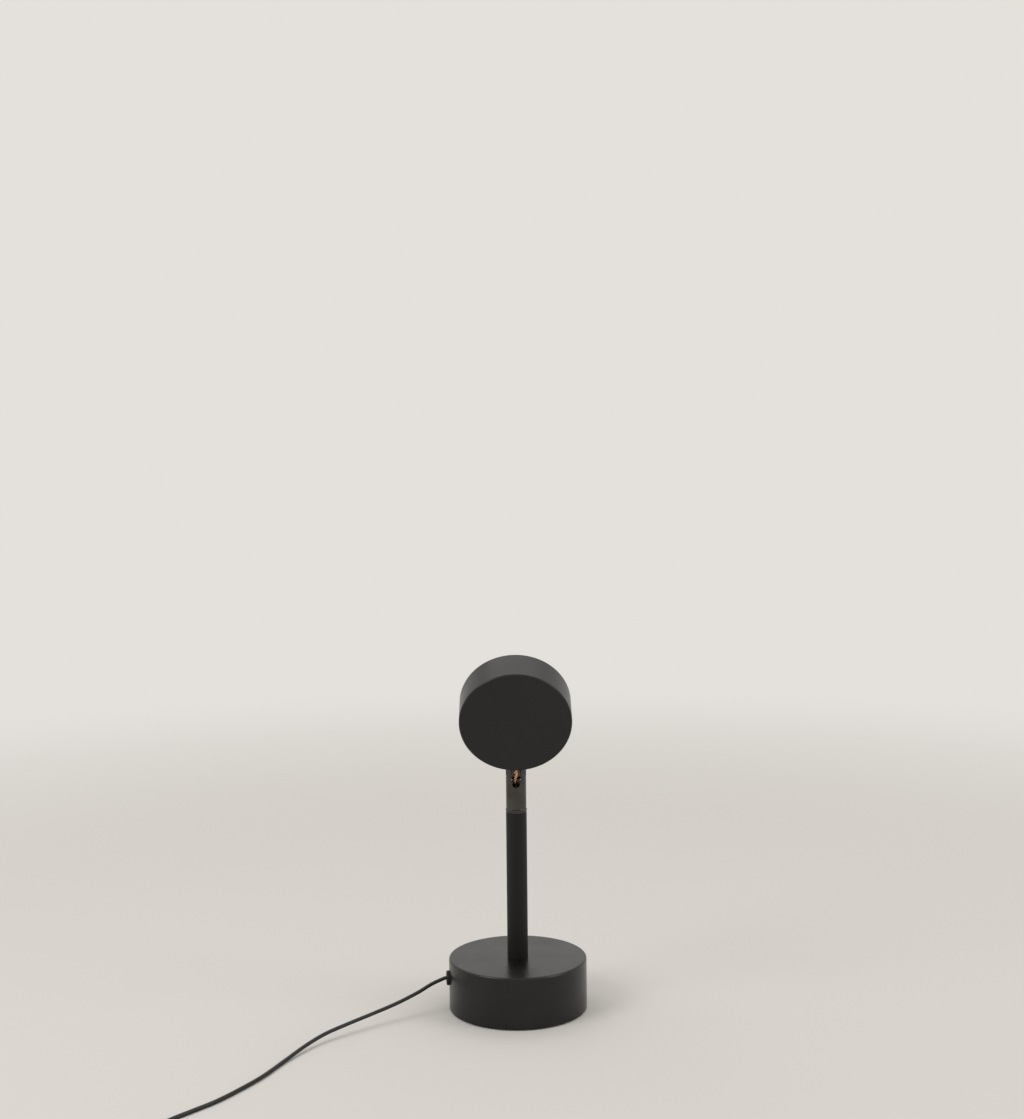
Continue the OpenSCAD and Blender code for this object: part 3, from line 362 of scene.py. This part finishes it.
deselect()
bpy.ops.mesh.primitive_circle_add(vertices=48, radius=RING_R * MM, fill_type="NGON",
                                  location=(0, 0, RING_Z * MM))
ring_mark = named("rocker_ring_mark")
bpy.ops.object.transform_apply(location=True)
bpy.ops.object.mode_set(mode="EDIT")
bpy.ops.mesh.select_all(action="SELECT")
bpy.ops.mesh.inset(thickness=RING_LINE * MM)
bpy.ops.mesh.delete(type="FACE")
bpy.ops.mesh.select_all(action="SELECT")
bpy.ops.mesh.extrude_region_move(TRANSFORM_OT_translate={"value": (0, 0, RING_T * MM)})
bpy.ops.object.mode_set(mode="OBJECT")
outward(ring_mark)
place(ring_mark, on_rocker(-MARK_X))
for mark in (bar_mark, ring_mark):
    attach(mark, "rocker")


# ---- materials: helpers ----

def linear(hex_colour):
    """An sRGB hex colour as the linear one that shaders take."""
    parts = [int(hex_colour[i:i + 2], 16) / 255 for i in (1, 3, 5)]
    return (*(c / 12.92 if c <= 0.04045 else ((c + 0.055) / 1.055) ** 2.4 for c in parts), 1.0)


def dress(mat, node, put):
    """Fills in a node.

    An input takes a value or a link, "stops" fills a colour ramp, and the rest are the node's settings.
    """
    for key, value in put.items():
        if key == "stops":
            ramp = node.color_ramp.elements
            while len(ramp) < len(value):
                ramp.new(0.5)
            for stop, (at, colour) in zip(ramp, value):
                stop.position, stop.color = at, linear(colour)
        elif isinstance(key, str) and key not in node.inputs:
            setattr(node, key, value)
        elif isinstance(value, bpy.types.NodeSocket):
            mat.node_tree.links.new(value, node.inputs[key])
        elif isinstance(value, str):
            node.inputs[key].default_value = linear(value)
        else:
            node.inputs[key].default_value = value
    return node


def add(mat, kind, put):
    """Adds one node with its settings and links."""
    return dress(mat, mat.node_tree.nodes.new("ShaderNode" + kind), put)


def material(name):
    """A new material, its main shader and the place on the piece, in metres."""
    mat = bpy.data.materials.new(name)
    mat.use_nodes = True
    return mat, mat.node_tree.nodes["Principled BSDF"], add(mat, "TexCoord", {}).outputs["Object"]


def per_mm(size_mm):
    """A texture's scale that makes its pattern this many millimetres wide."""
    return 1000 / size_mm


def coat(name, dark, light, rough, patch_mm, grain_mm, depth_mm, where=None, extra=None, detail=2.0):
    """A finish with soft patches of two close colours and of gloss, and a grain that gives its relief.

    where turns the place into the pattern's own place, such as the rings of a lathe. The patches and the
    grain both change the gloss, and their sum lies mostly between 0.7 and 1.3.
    """
    mat, skin, here = material(name)
    pattern = where(mat, here) if where else here
    patch = add(mat, "TexNoise", {
        "Vector": here, "Scale": per_mm(patch_mm), "Detail": 3.0, "Roughness": 0.55})
    tone = add(mat, "ValToRGB", {"Fac": patch.outputs["Fac"], "stops": [(0.35, dark), (0.68, light)]})
    grain = add(mat, "TexNoise", {
        "Vector": pattern, "Scale": per_mm(grain_mm), "Detail": detail, "Roughness": 0.6})
    handled = add(mat, "Math", {"operation": "ADD", 0: grain.outputs["Fac"], 1: patch.outputs["Fac"]})
    gloss = add(mat, "MapRange", {"Value": handled.outputs["Value"], "From Min": 0.7, "From Max": 1.3,
                                  "To Min": rough[0], "To Max": rough[1]})
    relief = add(mat, "Bump", {"Height": grain.outputs["Fac"], "Distance": depth_mm * MM})
    dress(mat, skin, {"Base Color": tone.outputs["Color"], "Roughness": gloss.outputs["Result"],
                      "Normal": relief.outputs["Normal"], **(extra or {})})
    return mat


# ---- materials: where a pattern lies on its piece ----

def in_head(mat, here):
    """The place in the head's own frame, so that rings and lines follow the head's axis."""
    return add(mat, "Mapping", {
        "vector_type": "TEXTURE", "Vector": here, "Location": HEAD_FRAME.to_translation(),
        "Rotation": HEAD_FRAME.to_euler()}).outputs["Vector"]


def from_axis(mat, where):
    """Distance from the Z axis."""
    flat = add(mat, "VectorMath", {"operation": "MULTIPLY", 0: where, 1: (1, 1, 0)})
    return add(mat, "VectorMath", {"operation": "LENGTH", 0: flat.outputs["Vector"]}).outputs["Value"]


def turned(mat, where):
    """A place that is the same all round the Z axis, as the lines of a lathe tool are."""
    along = add(mat, "SeparateXYZ", {"Vector": where}).outputs["Z"]
    return add(mat, "CombineXYZ", {"X": from_axis(mat, where), "Z": along}).outputs["Vector"]


def turned_in_head(mat, here):
    """The lathe's lines round the head's own axis."""
    return turned(mat, in_head(mat, here))


def drawn(mat, where, stretch):
    """Stretches a grain into the lines that a die or a roll leaves along the work."""
    return add(mat, "VectorMath", {"operation": "MULTIPLY", 0: where, 1: stretch}).outputs["Vector"]


def drawn_in_head(mat, here):
    """Lines along the head's own axis."""
    return drawn(mat, in_head(mat, here), (1, 1, 0.05))


def rolled_along_plug(mat, here):
    """Lines along the plug, which lies along X."""
    return drawn(mat, here, (0.06, 1, 1))


# ---- materials: coats, platings, metals and plastics ----

METAL = {"Metallic": 1.0}

# Powder coat, satin black, sprayed on pressed steel: a soft orange peel about 0.9 mm across
base_coat = coat("satin_powder_coat", "#0d0c0b", "#131210", (0.22, 0.37), 26, 0.9, 0.008,
                 extra={"Specular IOR Level": 0.4})
# Lacquer, satin black, on a spun aluminium can: a finer grain than the base's, and a little duller
head_coat = coat("satin_black_lacquer", "#0f0e0d", "#151312", (0.28, 0.42), 30, 0.7, 0.007,
                 extra={"Specular IOR Level": 0.4})
# Paint, matt black, on drawn tube: it hides almost all reflections. Grit 0.5 mm, drawn coarser than it is
stem_paint = coat("matt_black_paint", "#090808", "#0d0c0c", (0.5, 0.6), 18, 0.5, 0.007,
                  extra={"Specular IOR Level": 0.3})
# Black nickel plate on turned brass: dark mirror with tool rings 0.1 mm apart, drawn 0.3 mm apart to show
black_nickel = coat("black_nickel", "#454240", "#524f4c", (0.17, 0.27), 9, 0.3, 0.003,
                    where=turned, extra=METAL)
# Anodised aluminium, dark bronze grey, turned: rings follow the bezel, and its edge catches light
dark_anodised = coat("dark_anodised_aluminium", "#35322f", "#403c38", (0.26, 0.36), 12, 0.3, 0.0015,
                     where=turned_in_head, extra=METAL)
# Zinc plated steel: bluish bright, slightly cloudy
zinc_steel = coat("zinc_plated_steel", "#9a9fa3", "#b6babb", (0.25, 0.38), 2.5, 0.3, 0.001, extra=METAL)
# Steel with a black zinc finish: it keeps the pivot's ends as dark as the neck
black_zinc = coat("black_zinc_steel", "#26241f", "#302d28", (0.28, 0.4), 2.5, 0.3, 0.001, extra=METAL)
# Nickel plated steel of the plug's shell: bright, rolled along its length
plug_nickel = coat("nickel_plated_shell", "#b1b0ac", "#c4c3bf", (0.16, 0.27), 6, 0.3, 0.0015,
                   where=rolled_along_plug, extra=METAL)
# Cast iron, bare: dull grey with a sand grain of 0.8 mm
cast_iron = coat("sand_cast_iron", "#37373a", "#47474a", (0.62, 0.78), 8, 0.8, 0.05,
                 extra={"Metallic": 0.7})
# ABS, black, moulded with a spark-eroded grain of 0.4 mm: dull and even
black_abs = coat("grained_black_abs", "#0b0b0b", "#0f0f0f", (0.46, 0.56), 15, 0.4, 0.008,
                 extra={"IOR": 1.54, "Specular IOR Level": 0.35})
# ABS inside the head, grained dead matt so that stray light dies in it
chamber_abs = coat("light_trap_black_abs", "#050505", "#080808", (0.8, 0.9), 15, 0.6, 0.004,
                   extra={"IOR": 1.54, "Specular IOR Level": 0.08})
# ABS, black, moulded semi-gloss: soft wide highlights with a faint flow pattern
gloss_abs = coat("semi_gloss_black_abs", "#0a0a0a", "#0e0e0e", (0.22, 0.3), 12, 2.4, 0.002,
                 extra={"IOR": 1.54}, detail=1.0)
# Nylon, white, moulded: the insulator inside the plug, with a soft dull shine
white_nylon = coat("white_nylon", "#dedbd2", "#e8e5dd", (0.42, 0.5), 5, 0.5, 0.002, extra={"IOR": 1.53})
# Thermoplastic elastomer, soft black: dull, with a very fine skin
soft_tpe = coat("soft_black_elastomer", "#0c0c0b", "#10100f", (0.58, 0.68), 7, 0.35, 0.006,
                extra={"IOR": 1.5, "Specular IOR Level": 0.35})
# PVC, black, extruded jacket: dull shine, faint waves 2 mm long from the die
pvc_jacket = coat("extruded_pvc_jacket", "#0b0b0b", "#0f0f0e", (0.38, 0.48), 20, 2.0, 0.015,
                  extra={"IOR": 1.53, "Specular IOR Level": 0.4})
# Clear PVC over copper strands: warm metal under a hard gloss, for the small curled gleams at the knuckle
clear_wire = coat("clear_pvc_over_copper", "#b27a50", "#e2aa7a", (0.16, 0.26), 1.2, 0.5, 0.02,
                  extra={"Metallic": 1.0, "Coat Weight": 1.0, "Coat Roughness": 0.05, "Coat IOR": 1.5})
# Aluminium, extruded and bare: pale, with fine draw lines
bare_aluminium = coat("extruded_aluminium", "#b4b5b8", "#c6c7c9", (0.3, 0.42), 7, 0.3, 0.002,
                      where=drawn_in_head, extra=METAL)
# Brass strip, rolled: warm yellow, a little dulled
rolled_brass = coat("rolled_brass", "#b8924a", "#c7a45c", (0.25, 0.36), 3, 0.3, 0.001, extra=METAL)
# Gold flash on copper: deeper and smoother than the brass
gold_flash = coat("gold_flash", "#cda24c", "#d9b160", (0.15, 0.24), 3, 0.4, 0.0006, extra=METAL)
# White pad-printing ink on the rocker: thin, slightly uneven
ink = coat("white_pad_print", "#d9d8d4", "#e6e5e1", (0.45, 0.6), 1.2, 0.2, 0.002)


# ---- materials: foam, glass, light source, board and strap ----

# EVA foam, black, die cut: open pores about 0.7 mm across, dead matt. Painted shade makes each pore darker
# towards its deepest middle
foam, skin, here = material("black_eva_foam")
pores = add(foam, "TexVoronoi", {"Vector": here, "Scale": per_mm(0.7), "feature": "SMOOTH_F1"})
# Painted shade: the tone is darkest where the pores sink deepest in the relief
tone = add(foam, "ValToRGB", {
    "Fac": pores.outputs["Distance"], "stops": [(0.1, "#080808"), (0.6, "#181717")]})
relief = add(foam, "Bump", {"Height": pores.outputs["Distance"], "Distance": 0.12 * MM})
dress(foam, skin, {
    "Base Color": tone.outputs["Color"], "Roughness": 0.85, "Normal": relief.outputs["Normal"]})

# Optical glass, polished and bloomed, slightly warm: clear, with small bluish reflections of the lights
glass, skin, here = material("polished_optical_glass")
haze = add(glass, "TexNoise", {"Vector": here, "Scale": per_mm(14), "Detail": 2.0})
clean = add(glass, "MapRange", {"Value": haze.outputs["Fac"], "To Min": 0.0, "To Max": 0.03})
dress(glass, skin, {"Base Color": "#fff4e6", "Roughness": clean.outputs["Result"], "IOR": 1.52,
                    "Transmission Weight": 1.0, "Specular IOR Level": 0.32, "Specular Tint": "#b4c0f0"})

# Dichroic filter glass, coated in rings: yellow in the middle, then orange, red and a dark rim
FILTER_R = 14.5
dichroic, skin, here = material("dichroic_filter_glass")
reach = add(dichroic, "MapRange", {
    "Value": from_axis(dichroic, in_head(dichroic, here)), "From Max": FILTER_R * MM})
tone = add(dichroic, "ValToRGB", {"Fac": reach.outputs["Result"], "stops": [
    (0.0, "#ffe04a"), (0.34, "#ffb21e"), (0.62, "#ff6a14"), (0.84, "#d92a16"), (1.0, "#5a1020")]})
dress(dichroic, skin, {"Base Color": tone.outputs["Color"], "Roughness": 0.06, "IOR": 1.5,
                       "Transmission Weight": 0.35})

# LED package: yellow phosphor resin in a glossy dome, on a dull white ceramic body
DOME_R, DOME_FOOT_R = 2.5, 2.65
phosphor, skin, here = material("phosphor_resin_on_ceramic")
body = add(phosphor, "MapRange", {
    "Value": from_axis(phosphor, in_head(phosphor, here)),
    "From Min": DOME_R * MM, "From Max": DOME_FOOT_R * MM})
tone = add(phosphor, "ValToRGB", {
    "Fac": body.outputs["Result"], "stops": [(0.0, "#f0c53a"), (1.0, "#dcd9d0")]})
gloss = add(phosphor, "MapRange", {"Value": body.outputs["Result"], "To Min": 0.15, "To Max": 0.5})
dress(phosphor, skin, {
    "Base Color": tone.outputs["Color"], "Roughness": gloss.outputs["Result"], "IOR": 1.5})

# White solder mask on an aluminium board: fine darker grooves show where the copper lands below it part
board, skin, here = material("white_solder_mask")
lands = add(board, "TexVoronoi", {
    "Vector": in_head(board, here), "Scale": per_mm(9), "feature": "DISTANCE_TO_EDGE"})
tone = add(board, "ValToRGB", {"Fac": lands.outputs["Distance"], "stops": [
    (0.02, "#b9b5a8"), (0.05, "#dddad0"), (0.3, "#e6e3da")]})
relief = add(board, "Bump", {"Height": lands.outputs["Distance"], "Distance": 0.03 * MM})
dress(board, skin, {
    "Base Color": tone.outputs["Color"], "Roughness": 0.35, "Normal": relief.outputs["Normal"]})

# Hook and loop tape, black nylon: looped pile over a weave, whose threads are drawn 0.6 mm wide to show
THREAD_WAVES = 1000 / 0.6 / 6.283
strap_tape, skin, here = material("hook_and_loop_tape")
warp = add(strap_tape, "TexWave", {"Vector": here, "Scale": THREAD_WAVES, "bands_direction": "X",
                                   "Distortion": 2.0, "Detail": 2.0, "Detail Scale": 3.0})
pile = add(strap_tape, "TexNoise", {
    "Vector": here, "Scale": per_mm(0.45), "Detail": 4.0, "Roughness": 0.7})
both = add(strap_tape, "Math", {"operation": "ADD", 0: warp.outputs["Fac"], 1: pile.outputs["Fac"]})
# Painted shade and light: the pile's tone follows its height, dark where it lies low and lighter where it
# stands up
tone = add(strap_tape, "ValToRGB", {
    "Fac": pile.outputs["Fac"], "stops": [(0.3, "#101011"), (0.75, "#2a2a2c")]})
relief = add(strap_tape, "Bump", {"Height": both.outputs["Value"], "Distance": 0.18 * MM})
dress(strap_tape, skin, {
    "Base Color": tone.outputs["Color"], "Roughness": 0.9, "Normal": relief.outputs["Normal"],
    "Sheen Weight": 0.3, "Sheen Roughness": 0.5})


# ---- which piece has which finish ----

WEARS = {
    base_coat: ["base_shell"],
    head_coat: ["head_can"],
    stem_paint: ["stem_tube"],
    black_nickel: ["neck", "swivel_bush", "tongue"],
    dark_anodised: ["bezel_ring"],
    zinc_steel: [
        "cover_screw_1", "cover_screw_2", "cover_screw_3", "clamp_screw_1", "clamp_screw_2",
        "stem_washer", "stem_nut", "neck_clip", "tongue_washer", "tongue_nut", "filter_clip",
        "board_screw_1", "board_screw_2", "switch_screw_1", "switch_screw_2"],
    black_zinc: ["pivot_screw", "pivot_nut", "friction_washer_1", "friction_washer_2"],
    plug_nickel: ["plug_shell"],
    cast_iron: ["ballast"],
    black_abs: ["base_cover", "gland_nut", "cord_clamp", "switch_rocker"],
    chamber_abs: ["optic_tube"],
    gloss_abs: ["switch_lower", "switch_upper"],
    white_nylon: ["plug_insert"],
    soft_tpe: ["gland", "head_grommet", "lens_gasket", "plug_grip"],
    pvc_jacket: ["stem_lead", "power_lead"],
    clear_wire: ["head_lead", "twisted_twin_lead"],
    bare_aluminium: ["heat_sink"],
    rolled_brass: ["switch_contacts"],
    gold_flash: ["plug_contacts"],
    foam: ["foot_ring"],
    glass: ["lens"],
    dichroic: ["filter_disc"],
    phosphor: ["led_package"],
    board: ["led_board"],
    strap_tape: ["hook_loop_strap"],
    ink: ["rocker_bar_mark", "rocker_ring_mark"],
}
for mat, pieces in WEARS.items():
    for name in pieces:
        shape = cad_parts.get(name) or bpy.data.objects[name]
        shape.data.materials.clear()
        shape.data.materials.append(mat)


# ---- floor and background ----

# Diffuse paint that fades out into the background, and that can't be seen from below
FLOOR_R, FADE_FROM, FADE_TO = 6, 0.45, 1.5
FLOOR_COLOUR, ROOM_COLOUR, BACKDROP_COLOUR = "#dcd8d2", "#f2f0ee", "#e4e1dc"

deselect()
bpy.ops.mesh.primitive_circle_add(vertices=96, radius=FLOOR_R, fill_type="NGON", location=(0, 0, 0))
floor = named("studio_floor")
floor_paint = bpy.data.materials.new("pale_floor")
floor_paint.use_nodes = True
floor_paint.node_tree.nodes.clear()
here = add(floor_paint, "TexCoord", {}).outputs["Object"]
far = add(floor_paint, "VectorMath", {"operation": "LENGTH", 0: here})
fade = add(floor_paint, "MapRange", {"Value": far.outputs["Value"], "From Min": FADE_FROM,
                                     "From Max": FADE_TO, "interpolation_type": "SMOOTHSTEP"})
paint = add(floor_paint, "BsdfDiffuse", {"Color": FLOOR_COLOUR})
clear = add(floor_paint, "BsdfTransparent", {})
below = add(floor_paint, "NewGeometry", {}).outputs["Backfacing"]
gone = add(floor_paint, "Math", {"operation": "MAXIMUM", 0: fade.outputs["Result"], 1: below})
mixed = add(floor_paint, "MixShader", {
    0: gone.outputs["Value"], 1: paint.outputs["BSDF"], 2: clear.outputs["BSDF"]})
add(floor_paint, "OutputMaterial", {"Surface": mixed.outputs["Shader"]})
floor.data.materials.append(floor_paint)

# The camera, reflections and what is seen through glass get the backdrop, and the rest a dimmer room
world = bpy.data.worlds.new("studio")
bpy.context.scene.world = world
world.use_nodes = True
world.node_tree.nodes.clear()
rays = add(world, "LightPath", {})
seen = add(world, "Math", {
    "operation": "MAXIMUM", 0: rays.outputs["Is Camera Ray"], 1: rays.outputs["Is Transmission Ray"]})
seen_or_shiny = add(world, "Math", {
    "operation": "MAXIMUM", 0: seen.outputs["Value"], 1: rays.outputs["Is Glossy Ray"]})
room = add(world, "Background", {"Color": ROOM_COLOUR, "Strength": 0.6})
backdrop = add(world, "Background", {"Color": BACKDROP_COLOUR, "Strength": 1.0})
either = add(world, "MixShader", {
    0: seen_or_shiny.outputs["Value"], 1: room.outputs["Background"], 2: backdrop.outputs["Background"]})
add(world, "OutputWorld", {"Surface": either.outputs["Shader"]})


# ---- studio light ----

AIM = Vector((0, -0.02, 0.12))


def softbox(name, at, size, watts):
    """A soft area light, width by height in metres, that looks at the middle of the lamp."""
    deselect()
    bpy.ops.object.light_add(type="AREA", location=at)
    light = named(name)
    light.data.shape, light.data.size, light.data.size_y = "RECTANGLE", *size
    light.data.energy = watts
    light.rotation_euler = (AIM - Vector(at)).to_track_quat("-Z", "Y").to_euler()


softbox("softbox_left", (-1.3, -0.9, 1.3), (0.9, 0.9), 11)
softbox("softbox_right", (1.5, -0.5, 0.9), (0.6, 1.2), 5)
softbox("softbox_top", (0.1, 0.5, 1.8), (2.6, 1.8), 11)
